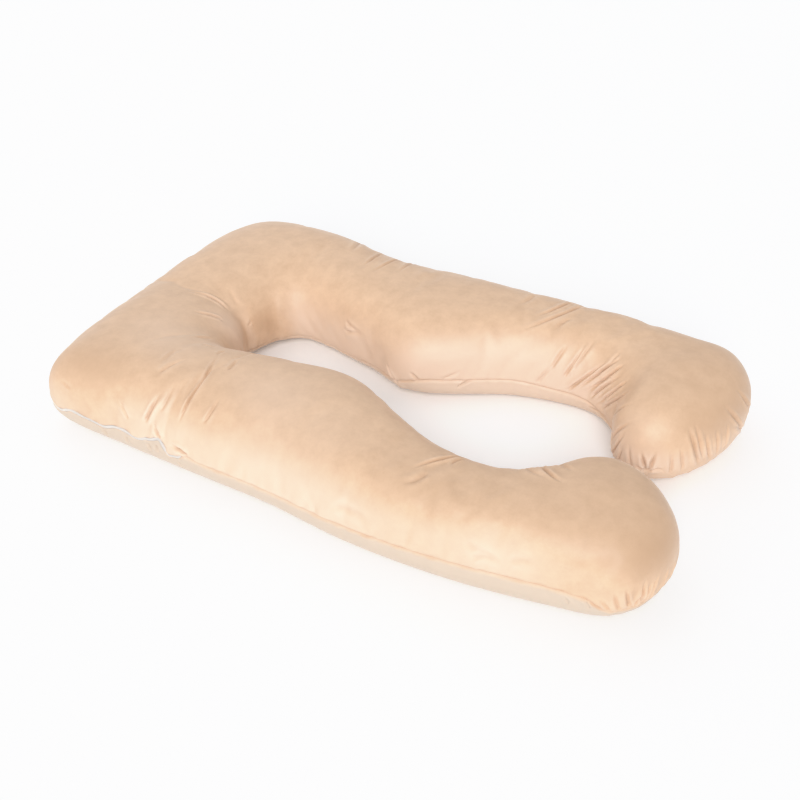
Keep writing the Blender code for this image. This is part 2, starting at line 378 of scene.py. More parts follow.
def coordinates(mesh):
    values = np.empty(len(mesh.vertices) * 3, dtype=np.float32)
    mesh.vertices.foreach_get("co", values)
    return values.reshape(-1, 3).astype(float)


def normals(mesh):
    values = np.empty(len(mesh.vertices) * 3, dtype=np.float32)
    mesh.vertex_normals.foreach_get("vector", values)
    return values.reshape(-1, 3).astype(float)


def set_coordinates(mesh, values):
    mesh.vertices.foreach_set("co", values.astype(np.float32).ravel())
    mesh.update()


def applied(obj):
    """The object's mesh with its modifiers applied, as a mesh of its own."""
    depsgraph = bpy.context.evaluated_depsgraph_get()
    mesh = bpy.data.meshes.new_from_object(obj.evaluated_get(depsgraph))
    obj.modifiers.clear()
    old = obj.data
    obj.data = mesh
    bpy.data.meshes.remove(old)
    mesh.name = obj.name
    return mesh


pillow = make_mesh("cover", cover_verts, cover_faces)
pillow.data.attributes.new("seam_marks", "FLOAT_VECTOR", "POINT").data.foreach_set(
    "vector", marks.astype(np.float32).ravel())

# ---- the cover: stuffing -----------------------------------------------------------------------
# The cover is blown full of loose polyester fibre. Its cloth is a little longer than the shape it
# fills, so it buckles into soft lumps and gathers where the seam holds it.
STUFFING_PRESSURE = 4.0
STUFFING_FRAMES = 20
SLACK = -0.035             # how much longer the cloth is than the shape, as a shrink below zero
UNEVENNESS = 0.5           # the share of the moves that is kept
LARGEST_MOVE = 0.006       # no point of the cover moves further than this
CALM_HEIGHT = 0.09         # below this height the cloth lies calmer and calmer, down to the floor
FLOOR_TOUCH = 0.0005       # the cloth is held by the floor below this height
HUB_CALM = 0.07            # round the middle of each foot the cloth stays as it was laid out


def stuff(obj, held):
    """Moves of the cover's points when its cloth is blown full, with the held points fixed."""
    group = obj.vertex_groups.new(name="held")
    group.add([int(point) for point in held], 1.0, "REPLACE")
    cloth = obj.modifiers.new("stuffing", "CLOTH")
    settings = cloth.settings
    settings.quality = 6
    settings.mass = 0.3
    settings.tension_stiffness = 15
    settings.compression_stiffness = 15
    settings.shear_stiffness = 5
    settings.bending_stiffness = 0.6
    settings.use_pressure = True
    settings.uniform_pressure_force = STUFFING_PRESSURE
    settings.shrink_min = SLACK
    settings.effector_weights.gravity = 0.0
    settings.vertex_group_mass = "held"
    before = coordinates(obj.data)
    for number in range(1, STUFFING_FRAMES + 1):
        bpy.context.scene.frame_set(number)
    depsgraph = bpy.context.evaluated_depsgraph_get()
    after = coordinates(obj.evaluated_get(depsgraph).data)
    obj.modifiers.remove(cloth)
    obj.vertex_groups.remove(group)
    bpy.context.scene.frame_set(1)
    return after - before


rest = coordinates(pillow.data)
on_floor = np.flatnonzero(rest[:, 2] < FLOOR_TOUCH)
held = np.concatenate((side_verts[:, SEAM_ROW], on_floor))
moves = stuff(pillow, held)
outward = normals(pillow.data)
swell = np.einsum("ij,ij->i", moves, outward)
# Only the unevenness is kept, so the pillow grows no thicker: the mean swell of each row goes.
mean_swell = swell[side_verts].mean(axis=0)
swell[side_verts] -= mean_swell[None, :]
swell[:first_side_vert] -= mean_swell[0]
swell = LARGEST_MOVE * np.tanh(UNEVENNESS * swell / LARGEST_MOVE)
swell *= smooth_step(rest[:, 2] / CALM_HEIGHT)
for foot_hub in (hub[0], hub[-1]):
    swell *= smooth_step(np.linalg.norm(rest[:, :2] - foot_hub, axis=1) / HUB_CALM)
set_coordinates(pillow.data, rest + outward * swell[:, None])

smoothing = pillow.modifiers.new("smooth", "SUBSURF")
smoothing.levels = 1
smoothing.render_levels = 1
applied(pillow)

# ---- the cover: seam and creases ---------------------------------------------------------------
# The seam's thread draws both panels in, so they gather along it. Longer creases run from the
# throat of the U, from the waist of each leg and round the feet.
SEAM_DRAW = 0.0036         # how deep the seam lies
ZIP_DRAW = 0.001           # and how deep where the zip takes its place
SEAM_DRAW_WIDTH = 0.0035
GATHER_DEPTH = 0.0022
GATHER_REACH = 0.022       # how far gathers run from the seam
GATHER_CLEAR = 0.003       # and how far from it they begin
GATHER_LEAST = 0.35        # the depth of the calmest ones, as a share of the deepest
GATHER_LEAN = 0.3          # how far they slant along the seam on the upper panel
UPPER_GATHER_WAVE = 0.012  # their usual spacing on the upper panel
UNDER_GATHER_WAVE = 0.014  # and on the lower
GATHER_SWELL_WAVE = 0.11   # the spacing of the deep stretches
ZIP_BLEND = 0.008          # the seam gives way to the zip over this length
CREASE_RISE = 0.22         # a crease deepens over this share of its length
CREASE_FADE = 0.50         # and fades over this share
CREASE_LIP = 0.52          # the velour pushed up beside a crease, as a share of its depth
CREASE_LIP_AT = 2.3        # how far beside it, and how wide, in widths of the crease
CREASE_LIP_WIDTH = 1.3
SEAM_SHADE = 0.22         # how much painted crease shade the seam has
SEAM_SHADE_WIDTH = 0.0016
CREASE_PAINT_DEPTH = 0.0070      # a crease this deep has only painted shade in it, and the full painted highlight on its lips
CREASE_SHADE_WIDTH = 0.60        # over this share of its width
CREASE_OVERRUN = 0.1       # the mesh is made finer past its ends by this share of its length
CREASE_REACH = 0.05        # a crease marks only the side of the pillow that it lies on

# By the creases the mesh is halved: within this many widths of one, where its edges are longer.
MeshStep = namedtuple("MeshStep", "widths longest")
MESH_STEPS = (
    MeshStep(2.8, 0.0034),
    MeshStep(1.7, 0.0017),
)


# Each crease runs over the cover from one point to another, its middle set aside by its bow.
Crease = namedtuple("Crease", "from_x from_y from_z to_x to_y to_z bow width depth")
CREASES = (
    # the head end: folds that run out from the throat
    Crease(-0.434, -0.021, 0.150, -0.546, -0.037, 0.175, -0.004, 0.0034, 0.0050),
    Crease(-0.430, 0.010, 0.148, -0.476, 0.035, 0.172, 0.001, 0.0050, 0.0012),
    Crease(-0.410, -0.069, 0.157, -0.461, -0.113, 0.183, 0.002, 0.0034, 0.0045),
    Crease(-0.394, 0.012, 0.110, -0.401, 0.001, 0.105, 0.001, 0.0030, 0.0012),
    Crease(-0.383, -0.196, 0.190, -0.369, -0.150, 0.165, -0.003, 0.0035, 0.0022),
    Crease(-0.349, -0.217, 0.195, -0.304, -0.216, 0.195, -0.001, 0.0040, 0.0020),
    # the fan above the end of the zip
    Crease(-0.257, -0.418, 0.137, -0.282, -0.233, 0.201, -0.018, 0.0028, 0.0042),
    Crease(-0.262, -0.380, 0.175, -0.268, -0.300, 0.201, -0.006, 0.0060, 0.0020),
    Crease(-0.224, -0.284, 0.203, -0.233, -0.236, 0.201, -0.002, 0.0032, 0.0030),
    Crease(-0.280, -0.220, 0.197, -0.279, -0.251, 0.202, -0.003, 0.0032, 0.0022),
    Crease(-0.350, -0.359, 0.193, -0.324, -0.292, 0.203, 0.003, 0.0040, 0.0026),
    Crease(-0.366, -0.276, 0.203, -0.363, -0.338, 0.199, 0.000, 0.0040, 0.0020),
    Crease(-0.343, -0.425, 0.115, -0.320, -0.384, 0.179, -0.003, 0.0036, 0.0050),
    Crease(-0.387, -0.426, 0.108, -0.419, -0.414, 0.144, -0.003, 0.0034, 0.0038),
    Crease(-0.200, -0.406, 0.157, -0.191, -0.350, 0.193, -0.004, 0.0034, 0.0032),
    Crease(-0.299, -0.428, 0.095, -0.320, -0.423, 0.126, 0.001, 0.0036, 0.0045),
    Crease(-0.306, -0.412, 0.149, -0.301, -0.351, 0.195, -0.004, 0.0040, 0.0026),
    Crease(-0.229, -0.430, 0.076, -0.275, -0.429, 0.090, -0.004, 0.0042, 0.0070),
    Crease(-0.546, -0.421, 0.127, -0.578, -0.413, 0.139, 0.000, 0.0034, 0.0014),
    # puckers in the lower panel under the zip
    Crease(-0.338, -0.429, 0.070, -0.332, -0.428, 0.046, 0.003, 0.0034, 0.0035),
    Crease(-0.316, -0.429, 0.074, -0.310, -0.429, 0.048, 0.002, 0.0034, 0.0040),
    Crease(-0.467, -0.427, 0.056, -0.464, -0.421, 0.030, 0.004, 0.0034, 0.0030),
    Crease(-0.399, -0.428, 0.064, -0.398, -0.425, 0.036, 0.000, 0.0034, 0.0030),
    Crease(-0.258, -0.429, 0.052, -0.252, -0.428, 0.028, 0.001, 0.0034, 0.0030),
    # the near leg: its waist, its inner side and the soft folds low on its outer side
    Crease(0.311, -0.260, 0.182, 0.246, -0.356, 0.195, 0.002, 0.0024, 0.0044),
    Crease(0.319, -0.270, 0.186, 0.308, -0.311, 0.196, -0.005, 0.0024, 0.0028),
    Crease(0.300, -0.290, 0.194, 0.262, -0.372, 0.190, 0.003, 0.0100, 0.0022),
    Crease(0.282, -0.344, 0.196, 0.246, -0.392, 0.181, 0.008, 0.0050, 0.0032),
    Crease(0.440, -0.200, 0.170, 0.508, -0.254, 0.197, -0.010, 0.0034, 0.0050),
    Crease(0.418, -0.220, 0.173, 0.471, -0.254, 0.195, -0.007, 0.0045, 0.0026),
    Crease(0.470, -0.176, 0.169, 0.509, -0.212, 0.194, -0.005, 0.0045, 0.0028),
    Crease(0.389, -0.415, 0.129, 0.455, -0.408, 0.116, 0.000, 0.0060, 0.0020),
    Crease(0.406, -0.418, 0.102, 0.472, -0.408, 0.102, 0.011, 0.0060, 0.0024),
    Crease(0.472, -0.407, 0.109, 0.531, -0.394, 0.119, 0.010, 0.0060, 0.0022),
    Crease(0.123, -0.436, 0.110, 0.212, -0.435, 0.102, 0.007, 0.0070, 0.0022),
    # the near foot
    Crease(0.695, -0.323, 0.048, 0.701, -0.309, 0.098, 0.002, 0.0026, 0.0042),
    Crease(0.702, -0.310, 0.050, 0.706, -0.294, 0.108, 0.003, 0.0026, 0.0036),
    Crease(0.693, -0.327, 0.050, 0.692, -0.322, 0.112, 0.002, 0.0026, 0.0038),
    Crease(0.683, -0.341, 0.048, 0.696, -0.318, 0.092, 0.002, 0.0026, 0.0040),
    Crease(0.681, -0.342, 0.050, 0.669, -0.350, 0.106, 0.003, 0.0028, 0.0038),
    Crease(0.669, -0.354, 0.048, 0.654, -0.363, 0.098, 0.003, 0.0030, 0.0032),
    Crease(0.655, -0.365, 0.048, 0.633, -0.376, 0.080, -0.001, 0.0024, 0.0026),
    Crease(0.709, -0.285, 0.054, 0.711, -0.266, 0.104, -0.002, 0.0028, 0.0032),
    Crease(0.714, -0.258, 0.054, 0.713, -0.232, 0.098, -0.002, 0.0032, 0.0028),
    Crease(0.714, -0.225, 0.056, 0.707, -0.202, 0.108, 0.000, 0.0036, 0.0028),
    Crease(0.622, -0.380, 0.048, 0.606, -0.384, 0.072, -0.003, 0.0024, 0.0024),
    Crease(0.585, -0.386, 0.046, 0.574, -0.388, 0.064, -0.002, 0.0024, 0.0022),
    # the far leg's outer side
    Crease(-0.229, 0.345, 0.190, -0.220, 0.231, 0.202, 0.003, 0.0028, 0.0042),
    Crease(-0.178, 0.350, 0.185, -0.187, 0.215, 0.201, 0.005, 0.0028, 0.0042),
    Crease(-0.312, 0.375, 0.184, -0.283, 0.277, 0.203, 0.002, 0.0050, 0.0030),
    Crease(-0.142, 0.360, 0.180, -0.129, 0.243, 0.202, 0.000, 0.0030, 0.0028),
    Crease(0.275, 0.366, 0.186, 0.227, 0.241, 0.191, 0.006, 0.0030, 0.0048),
    Crease(0.302, 0.372, 0.182, 0.206, 0.193, 0.171, 0.017, 0.0032, 0.0045),
    Crease(0.304, 0.284, 0.196, 0.281, 0.225, 0.178, -0.004, 0.0040, 0.0028),
    Crease(0.189, 0.350, 0.190, 0.175, 0.263, 0.197, 0.005, 0.0050, 0.0028),
    # the far leg's inner side, and the small folds at its waist
    Crease(-0.194, 0.111, 0.125, -0.140, 0.097, 0.118, -0.004, 0.0045, 0.0025),
    Crease(-0.197, 0.106, 0.100, -0.131, 0.095, 0.118, -0.002, 0.0045, 0.0025),
    Crease(0.002, 0.062, 0.018, -0.054, 0.064, 0.086, -0.001, 0.0030, 0.0062),
    Crease(0.036, 0.057, 0.063, 0.014, 0.053, 0.086, -0.002, 0.0034, 0.0034),
    Crease(0.112, 0.099, 0.046, 0.150, 0.120, 0.068, 0.004, 0.0030, 0.0040),
    Crease(0.080, 0.078, 0.070, 0.123, 0.104, 0.095, -0.001, 0.0036, 0.0022),
    # the gathers where that side bends round into the foot
    Crease(0.274, 0.180, 0.065, 0.304, 0.191, 0.120, 0.002, 0.0040, 0.0028),
    Crease(0.299, 0.190, 0.105, 0.323, 0.220, 0.168, 0.000, 0.0034, 0.0030),
    Crease(0.329, 0.192, 0.090, 0.362, 0.232, 0.174, -0.001, 0.0028, 0.0036),
    Crease(0.344, 0.196, 0.113, 0.377, 0.246, 0.185, -0.003, 0.0030, 0.0030),
    Crease(0.338, 0.192, 0.058, 0.424, 0.210, 0.164, -0.001, 0.0026, 0.0042),
    Crease(0.450, 0.212, 0.178, 0.359, 0.195, 0.068, 0.002, 0.0026, 0.0046),
    Crease(0.400, 0.197, 0.124, 0.441, 0.233, 0.187, -0.010, 0.0030, 0.0030),
    Crease(0.463, 0.198, 0.175, 0.378, 0.194, 0.066, 0.004, 0.0026, 0.0046),
    Crease(0.396, 0.192, 0.060, 0.470, 0.176, 0.162, 0.001, 0.0024, 0.0042),
    Crease(0.484, 0.158, 0.162, 0.411, 0.186, 0.054, 0.005, 0.0024, 0.0040),
    Crease(0.430, 0.176, 0.056, 0.509, 0.117, 0.171, -0.002, 0.0025, 0.0042),
    Crease(0.470, 0.129, 0.068, 0.525, 0.082, 0.168, -0.007, 0.0026, 0.0044),
    Crease(0.495, 0.062, 0.068, 0.538, 0.045, 0.144, 0.001, 0.0028, 0.0038),
    Crease(0.502, 0.063, 0.032, 0.530, 0.038, 0.126, -0.005, 0.0026, 0.0045),
    Crease(0.523, 0.033, 0.045, 0.530, 0.028, 0.090, 0.000, 0.0028, 0.0036),
    Crease(0.385, 0.198, 0.035, 0.456, 0.157, 0.037, -0.002, 0.0022, 0.0040),
    # the far foot: the pinch beside the near foot, and the gathers round its rim
    Crease(0.588, 0.022, 0.050, 0.567, 0.020, 0.102, -0.001, 0.0032, 0.0055),
    Crease(0.588, 0.022, 0.050, 0.597, 0.028, 0.108, 0.000, 0.0032, 0.0047),
    Crease(0.588, 0.022, 0.055, 0.556, 0.018, 0.063, -0.002, 0.0032, 0.0039),
    Crease(0.588, 0.023, 0.053, 0.618, 0.037, 0.060, 0.007, 0.0030, 0.0039),
    Crease(0.670, 0.102, 0.050, 0.632, 0.084, 0.153, 0.006, 0.0040, 0.0051),
    Crease(0.673, 0.107, 0.062, 0.642, 0.099, 0.155, 0.007, 0.0038, 0.0043),
    Crease(0.685, 0.130, 0.050, 0.665, 0.110, 0.131, 0.006, 0.0034, 0.0041),
    Crease(0.692, 0.150, 0.050, 0.679, 0.135, 0.127, 0.002, 0.0034, 0.0039),
    Crease(0.701, 0.176, 0.050, 0.692, 0.169, 0.124, 0.001, 0.0034, 0.0035),
    Crease(0.713, 0.245, 0.066, 0.674, 0.173, 0.160, 0.006, 0.0036, 0.0047),
    Crease(0.713, 0.275, 0.046, 0.695, 0.179, 0.124, 0.006, 0.0036, 0.0039),
    Crease(0.713, 0.299, 0.080, 0.683, 0.234, 0.165, 0.010, 0.0036, 0.0039),
    Crease(0.648, 0.067, 0.046, 0.633, 0.058, 0.118, 0.001, 0.0034, 0.0035),
    Crease(0.629, 0.047, 0.046, 0.622, 0.043, 0.108, 0.000, 0.0034, 0.0031),
    Crease(0.557, 0.018, 0.050, 0.542, 0.025, 0.108, 0.001, 0.0034, 0.0030),
)


class CreaseFrame:
    """Where the points of a mesh lie along, beside and above one crease."""

    def __init__(self, crease, co, out):
        start = np.array((crease.from_x, crease.from_y, crease.from_z))
        end = np.array((crease.to_x, crease.to_y, crease.to_z))
        length = np.linalg.norm(end - start)
        ahead = (end - start) / length
        ends = [np.argmin(np.linalg.norm(co - point, axis=1)) for point in (start, end)]
        side = np.cross(out[ends].sum(axis=0), ahead)
        side /= np.linalg.norm(side)
        offset = co - start
        self.along = offset @ ahead / length
        bow = 4 * crease.bow * self.along * (1 - self.along)
        self.beside = offset @ side - bow
        self.above = offset @ np.cross(ahead, side)

    def near(self, width):
        return ((np.abs(self.beside) < width) & (np.abs(self.above) < CREASE_REACH)
                & (self.along > -CREASE_OVERRUN) & (self.along < 1 + CREASE_OVERRUN))


def finer_mesh(obj, near, longest):
    """Halves the longer edges of the faces that have a corner near a crease."""
    bm = bmesh.new()
    bm.from_mesh(obj.data)
    faces = [face for face in bm.faces if any(near[vert.index] for vert in face.verts)]
    edges = list({edge for face in faces for edge in face.edges if edge.calc_length() > longest})
    bmesh.ops.subdivide_edges(bm, edges=edges, cuts=1, smooth=1.0, use_grid_fill=True)
    bm.to_mesh(obj.data)
    bm.free()
    obj.data.shade_smooth()


mesh = pillow.data
for step in MESH_STEPS:
    co = coordinates(mesh)
    out = normals(mesh)
    near = np.zeros(len(co), dtype=bool)
    for crease in CREASES:
        near |= CreaseFrame(crease, co, out).near(step.widths * crease.width)
    finer_mesh(pillow, near, step.longest)

co = coordinates(mesh)
out = normals(mesh)
values = np.empty(len(mesh.vertices) * 3, dtype=np.float32)
mesh.attributes["seam_marks"].data.foreach_get("vector", values)
mesh.attributes.remove(mesh.attributes["seam_marks"])
marks = values.reshape(-1, 3).astype(float)
run = np.mod(np.arctan2(marks[:, 1], marks[:, 0]), math.tau) * (SEAM_LENGTH / math.tau)
rise = marks[:, 2]


def ripple(run, wave, seed):
    """Smooth random values from -1 to 1 along the seam, with waves about that long."""
    count = int(SEAM_LENGTH / wave)
    knots = np.random.default_rng(seed).uniform(-1, 1, count)
    place = run * count / SEAM_LENGTH
    low = np.floor(place).astype(int) % count
    t = smooth_step(place - np.floor(place))
    return knots[low] * (1 - t) + knots[(low + 1) % count] * t


zip_rings = np.flatnonzero((places >= ZIP_END) & (places <= ZIP_START))
zip_from = seam_run[zip_rings[0]]
zip_to = seam_run[zip_rings[-1]]
zipped = smooth_step((run - zip_from) / ZIP_BLEND) * smooth_step((zip_to - run) / ZIP_BLEND)
draw = (SEAM_DRAW + (ZIP_DRAW - SEAM_DRAW) * zipped) * np.exp(-(rise / SEAM_DRAW_WIDTH) ** 2)
gather = (ripple(run + GATHER_LEAN * rise, UPPER_GATHER_WAVE, seed=11) * (rise >= 0)
          + ripple(run, UNDER_GATHER_WAVE, seed=12) * (rise < 0))
swelling = np.abs(ripple(run, GATHER_SWELL_WAVE, seed=13))
gather *= GATHER_DEPTH * (GATHER_LEAST + (1 - GATHER_LEAST) * swelling)
gather *= np.exp(-np.abs(rise) / GATHER_REACH) * (1 - np.exp(-(rise / GATHER_CLEAR) ** 2))
press = draw + gather
# Painted shade darkens the seam and the creases, and the lips beside deep creases get a painted
# highlight.
crease_shade = SEAM_SHADE * np.exp(-(rise / SEAM_SHADE_WIDTH) ** 2)
lip_light = np.zeros(len(co))
for crease in CREASES:
    place = CreaseFrame(crease, co, out)
    depth = crease.depth * smooth_step(place.along / CREASE_RISE)
    depth *= smooth_step((1 - place.along) / CREASE_FADE)
    depth *= np.abs(place.above) < CREASE_REACH
    across = np.abs(place.beside) / crease.width
    lip = np.exp(-((across - CREASE_LIP_AT) / CREASE_LIP_WIDTH) ** 2)
    press += depth * (np.exp(-across ** 2) - CREASE_LIP * lip)
    lip_light += depth / CREASE_PAINT_DEPTH * lip
    crease_shade += (depth / CREASE_PAINT_DEPTH) ** 2 * np.exp(-(across / CREASE_SHADE_WIDTH) ** 2)
co -= out * press[:, None]
co[:, 2] = np.maximum(co[:, 2], 0.0)
set_coordinates(mesh, co)

# The velour: short cut fibres that shine where they are seen edge on, and look mottled where
# they were brushed. Light and shade are also painted into its colour: low on the sides that face
# the front it is painted paler, as if lit from the front. Towards the feet it is painted darker,
# most on the flanks that face away from the front, and less the nearer it is to the seam. The lips
# of deep creases get a painted highlight, creases and the seam painted shade, and the lower panel a
# greyer painted shade.
# VELOUR and VELOUR_BRUSHED are the velour's own mottled tones. The others are painted light and
# shade: a paler painted light, a darker painted shade, the painted shade of creases and seam, and
# the greyer painted shade of the lower panel.
VELOUR = (0.756, 0.518, 0.344, 1.0)
VELOUR_BRUSHED = (0.642, 0.425, 0.272, 1.0)
VELOUR_PAINTED_LIGHT = (0.805, 0.608, 0.473, 1.0)
VELOUR_PAINTED_SHADE = (0.550, 0.350, 0.215, 1.0)
VELOUR_CREASE_SHADE = (0.360, 0.220, 0.135, 1.0)
VELOUR_UNDERSIDE_SHADE = (0.620, 0.505, 0.400, 1.0)
PAINTED_LIGHT_FRONT = np.array((0.34, -0.94, 0.0))
LIT_FACING_FROM = 0.20           # how squarely the cloth has to face the front before it is painted paler
LIT_EASE = 1.5            # how gently the painted light starts
LIT_RISE = 0.050          # full painted light up to this height above the seam,
LIT_TO = 0.145            # and not at all from this one on
FEET_FROM = 0.42           # the feet's painted shade starts from here on along the legs
FEET_TO = 0.60
FEET_LIT = 0.15           # the share of the painted light that is left there
FLANK_SPREAD = 1.1         # how far up from the flanks the feet's painted shade reaches
FEET_SHADE = 0.25           # how dark the painted shade is there on the top; it is full on the flanks
LIP_HIGHLIGHT = 0.40          # how much painted highlight the lips of the deepest creases have
UNDER_BLEND = 0.008        # the lower panel's painted shade begins over this height below the seam
UNDER_HIDDEN = 0.7         # less of it on the far leg, from its inner side on
UNDER_HIDDEN_FROM = 0.05
PATCH_SCALE = 26.0         # patches, dimples and fibre tips of the velour, each in waves to the metre
DIMPLE_SCALE = 48.0
TIP_SCALE = 700.0

# Spots of painted light (above zero) or painted shade, each over a reach all round.
PaintedSpot = namedtuple("PaintedSpot", "x y z reach lean")
PAINTED_SPOTS = (
    PaintedSpot(-0.500, -0.420, 0.130, 0.120, -0.88),
    PaintedSpot(-0.170, -0.410, 0.150, 0.110, -0.35),
    PaintedSpot(0.300, -0.430, 0.110, 0.150, -0.45),
    PaintedSpot(-0.110, -0.330, 0.195, 0.110, 0.40),
    PaintedSpot(0.080, -0.360, 0.190, 0.090, 0.15),
    PaintedSpot(0.130, 0.110, 0.080, 0.080, 0.30),
    PaintedSpot(0.240, 0.160, 0.070, 0.080, 0.30),
    PaintedSpot(-0.400, -0.060, 0.125, 0.050, 0.80),
    PaintedSpot(0.580, 0.020, 0.120, 0.080, 0.75),
    PaintedSpot(-0.382, 0.040, 0.098, 0.040, -0.60),
    PaintedSpot(-0.370, 0.075, 0.060, 0.050, -0.60),
    PaintedSpot(-0.430, -0.260, 0.200, 0.120, 0.35),
    PaintedSpot(0.690, -0.290, 0.120, 0.060, -0.40),
)

out = normals(mesh)
# Painted light: the velour is painted paler where it faces the front, fully so up to a height above
# the seam.
front_light = np.clip((out @ PAINTED_LIGHT_FRONT - LIT_FACING_FROM) / (1 - LIT_FACING_FROM), 0, 1) ** LIT_EASE
near_seam = smooth_step((LIT_TO - rise) / (LIT_TO - LIT_RISE))
at_foot = smooth_step((co[:, 0] - FEET_FROM) / (FEET_TO - FEET_FROM))
# Painted shade at the feet: darker on the flanks that face away from the front, less near the seam.
flank = np.clip(FLANK_SPREAD - out[:, 2], 0, 1) * np.clip(out[:, 0] - out[:, 1], 0, 1)
foot_shade = at_foot * (FEET_SHADE + (1 - FEET_SHADE) * flank)
low_down = near_seam ** 2
lean = (front_light * near_seam * (1 - at_foot) + FEET_LIT * front_light * low_down * at_foot
        - foot_shade * (1 - low_down) + LIP_HIGHLIGHT * np.clip(lip_light, 0, 1))
for spot in PAINTED_SPOTS:
    away = np.linalg.norm(co - np.array((spot.x, spot.y, spot.z)), axis=1)
    lean += spot.lean * np.exp(-(away / spot.reach) ** 2)
# Painted shade, darker and greyer, on the lower panel below the seam; less of it on the far leg.
under = smooth_step(-rise / UNDER_BLEND)
under *= 1 - UNDER_HIDDEN * smooth_step(co[:, 1] / UNDER_HIDDEN_FROM)
# Per point: painted light (above zero) or painted shade, the lower panel's painted shade, and the
# painted shade of creases and seam.
painted_light = np.column_stack((np.clip(lean, -1, 1), under, np.clip(crease_shade, 0, 1)))
mesh.attributes.new("painted_light", "FLOAT_VECTOR", "POINT").data.foreach_set(
    "vector", painted_light.astype(np.float32).ravel())


def new_material(name):
    material = bpy.data.materials.new(name)
    material.use_nodes = True
    return material, material.node_tree.nodes, material.node_tree.links


def mixed(nodes, links, factor, first, second):
    """A colour between two others, each a constant or a socket."""
    mix = nodes.new("ShaderNodeMix")
    mix.data_type = "RGBA"
    links.new(factor, mix.inputs["Factor"])
    for name, colour in (("A", first), ("B", second)):
        if isinstance(colour, tuple):
            mix.inputs[name].default_value = colour
        else:
            links.new(colour, mix.inputs[name])
    return mix.outputs["Result"]


def stretched(nodes, links, value, low, high):
    """The value as a share of the way from low to high, from 0 to 1."""
    span = nodes.new("ShaderNodeMapRange")
    span.inputs["From Min"].default_value = low
    span.inputs["From Max"].default_value = high
    links.new(value, span.inputs["Value"])
    return span.outputs["Result"]


def velour_material():
    material, nodes, links = new_material("velour")
    shader = nodes["Principled BSDF"]
    shader.inputs["Roughness"].default_value = 0.52
    shader.inputs["Sheen Weight"].default_value = 0.25
    shader.inputs["Sheen Roughness"].default_value = 0.3
    shader.inputs["Sheen Tint"].default_value = (1.0, 0.95, 0.92, 1.0)
    shader.inputs["Specular IOR Level"].default_value = 0.75
    place = nodes.new("ShaderNodeTexCoord")
    patches = nodes.new("ShaderNodeTexNoise")
    patches.inputs["Scale"].default_value = PATCH_SCALE
    patches.inputs["Detail"].default_value = 6.0
    patches.inputs["Roughness"].default_value = 0.72
    links.new(place.outputs["Object"], patches.inputs["Vector"])
    brushed = stretched(nodes, links, patches.outputs["Fac"], 0.3, 0.7)
    painted_light = nodes.new("ShaderNodeAttribute")
    painted_light.attribute_name = "painted_light"
    parts = nodes.new("ShaderNodeSeparateXYZ")
    links.new(painted_light.outputs["Vector"], parts.inputs["Vector"])
    lean = parts.outputs["X"]
    # The velour's own mottled tone, mixed with painted shade and painted light, the lower panel's
    # painted shade and the painted shade of creases and seam.
    tone = mixed(nodes, links, brushed, VELOUR, VELOUR_BRUSHED)
    tone = mixed(nodes, links, stretched(nodes, links, lean, -1.0, 0.0), VELOUR_PAINTED_SHADE, tone)
    tone = mixed(nodes, links, stretched(nodes, links, lean, 0.0, 1.0), tone, VELOUR_PAINTED_LIGHT)
    tone = mixed(nodes, links, parts.outputs["Y"], tone, VELOUR_UNDERSIDE_SHADE)
    tone = mixed(nodes, links, parts.outputs["Z"], tone, VELOUR_CREASE_SHADE)
    links.new(tone, shader.inputs["Base Color"])
    tips = nodes.new("ShaderNodeTexNoise")
    tips.inputs["Scale"].default_value = TIP_SCALE
    tips.inputs["Detail"].default_value = 2.0
    links.new(place.outputs["Object"], tips.inputs["Vector"])
    dimples = nodes.new("ShaderNodeTexNoise")
    dimples.inputs["Scale"].default_value = DIMPLE_SCALE
    dimples.inputs["Detail"].default_value = 3.0
    links.new(place.outputs["Object"], dimples.inputs["Vector"])
    rough = None
    for height, strength, distance in ((dimples, 0.5, 0.0012), (tips, 0.35, 0.0006)):
        bump = nodes.new("ShaderNodeBump")
        bump.inputs["Strength"].default_value = strength
        bump.inputs["Distance"].default_value = distance
        links.new(height.outputs["Fac"], bump.inputs["Height"])
        if rough is not None:
            links.new(rough, bump.inputs["Normal"])
        rough = bump.outputs["Normal"]
    links.new(rough, shader.inputs["Normal"])
    return material


velour = velour_material()
mesh.materials.clear()
mesh.materials.append(velour)
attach(pillow, "root")
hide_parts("pillow")

# ---- the seam's thread -------------------------------------------------------------------------
# Polyester thread in the cover's colour, lock-stitched by machine. The stitches lie deep in the
# seam all round, except where the zip is sewn in.
STITCH_PITCH = 0.0032
STITCH_LENGTH = 0.0026
STITCH_WIDTH = 0.0007
STITCH_STAND = 0.0002      # the thread's middle stands this far off the velour
THREAD = (0.72, 0.52, 0.37, 1.0)
THREAD_SHADE = 0.86        # how dark the twist of the thread is, as a share of its colour


